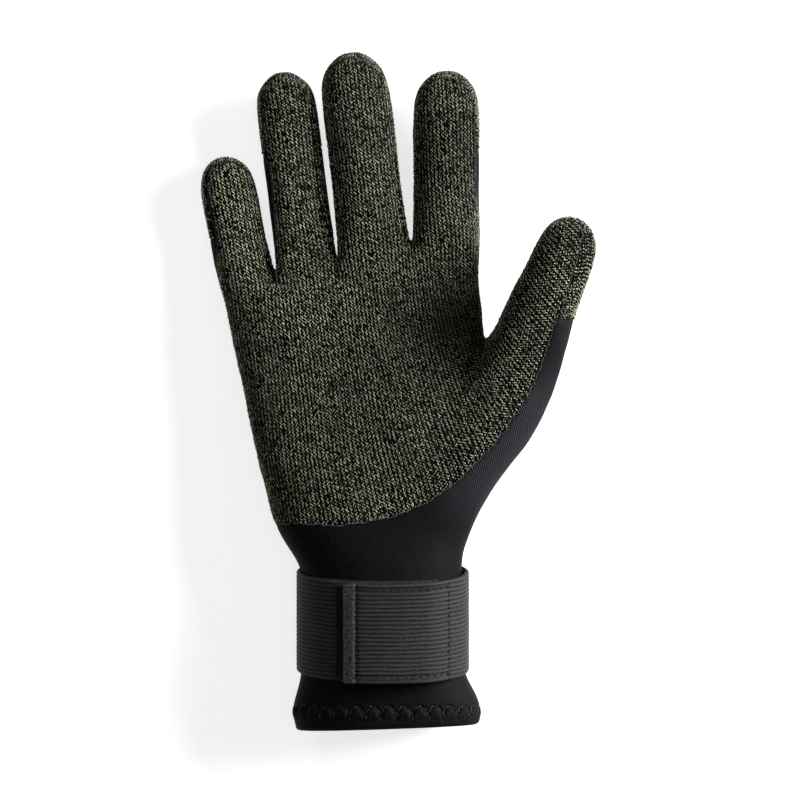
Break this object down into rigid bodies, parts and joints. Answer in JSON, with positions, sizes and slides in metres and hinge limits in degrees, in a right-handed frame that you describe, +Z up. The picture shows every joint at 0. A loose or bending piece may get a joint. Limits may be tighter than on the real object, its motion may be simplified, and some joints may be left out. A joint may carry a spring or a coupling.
{
  "type": "diving glove",
  "caption": "Neoprene diving glove for the right hand with a knit-faced palm, knit fingertip caps and an elastic wrist strap that closes with hook and loop.",
  "frame": {"origin": "middle of the bounding box at the surface the glove lies on", "axes": "+Z up out of the palm, +Y from the cuff to the fingertips, +X towards the thumb"},
  "size_m": [0.1576, 0.2712, 0.046],
  "materials": {
    "palm_knit": "coarse black and olive-grey cut-resistant knit on neoprene",
    "neoprene": "smooth black nylon-faced neoprene",
    "tip_knit": "coarse black and olive-grey cut-resistant knit on neoprene",
    "elastic": "ribbed black elastic webbing",
    "loop": "fuzzy black loop pile",
    "hook": "matte black hook tape"
  },
  "bodies": {
    "root": {"palm_panel": "palm_knit", "back_panel": "neoprene", "little_tip_cap": "tip_knit", "ring_tip_cap": "tip_knit", "middle_tip_cap": "tip_knit", "index_tip_cap": "tip_knit", "thumb_tip_cap": "tip_knit", "wrist_strap": "elastic", "loop_patch": "loop", "hook_patch": "hook"}
  },
  "joints": []
}
